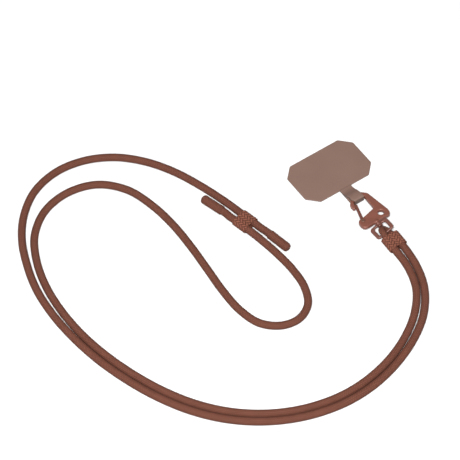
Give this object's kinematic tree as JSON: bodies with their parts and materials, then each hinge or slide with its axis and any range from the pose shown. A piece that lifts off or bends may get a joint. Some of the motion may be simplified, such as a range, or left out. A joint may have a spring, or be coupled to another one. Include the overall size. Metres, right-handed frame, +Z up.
{
  "type": "phone crossbody strap",
  "caption": "Crossbody strap of doubled round cord with a sliding adjuster, a swivel snap clasp and a thin tether tab.",
  "frame": {"origin": "centre of the base of the hardware (tab, clasp, pin and stirrup), on the surface that the strap lies on", "axes": "+X from the tab through the clasp to the cord, +Z up from the surface"},
  "size_m": [0.3105, 0.2906, 0.0105],
  "materials": {
    "tab": "soft satin",
    "clasp": "satin lacquer",
    "cord": "braided",
    "whipping": "braided sleeve",
    "tip": "braided sleeve"
  },
  "bodies": {
    "strap": {"swivel_stirrup": "clasp", "cord_fold": "cord", "cord_cuff": "whipping", "cord_outer": "cord", "cord_outer_end": "cord", "tip_outer": "tip", "cord_inner": "cord", "cord_inner_end": "cord", "tip_inner": "tip", "adjuster": "whipping"},
    "clasp": {"clasp_plate": "clasp", "gate_rivet": "clasp", "swivel_pin": "clasp", "tether_tab": "tab"},
    "gate": {"clasp_gate": "clasp"}
  },
  "joints": [
    {"name": "swivel", "type": "hinge", "parent": "strap", "child": "clasp", "pos_m": [0.03895, -0.0011, 0.0048], "axis": [0.9986, 0, 0.0523], "continuous": true},
    {"name": "gate_hinge", "type": "hinge", "parent": "clasp", "child": "gate", "pos_m": [0.02976, -0.0097, 0.00432], "axis": [0.0523, 0, -0.9986], "range_deg": [0, 28], "stiffness_Nm_per_rad": 0.004, "springref_deg": -8.59}
  ]
}
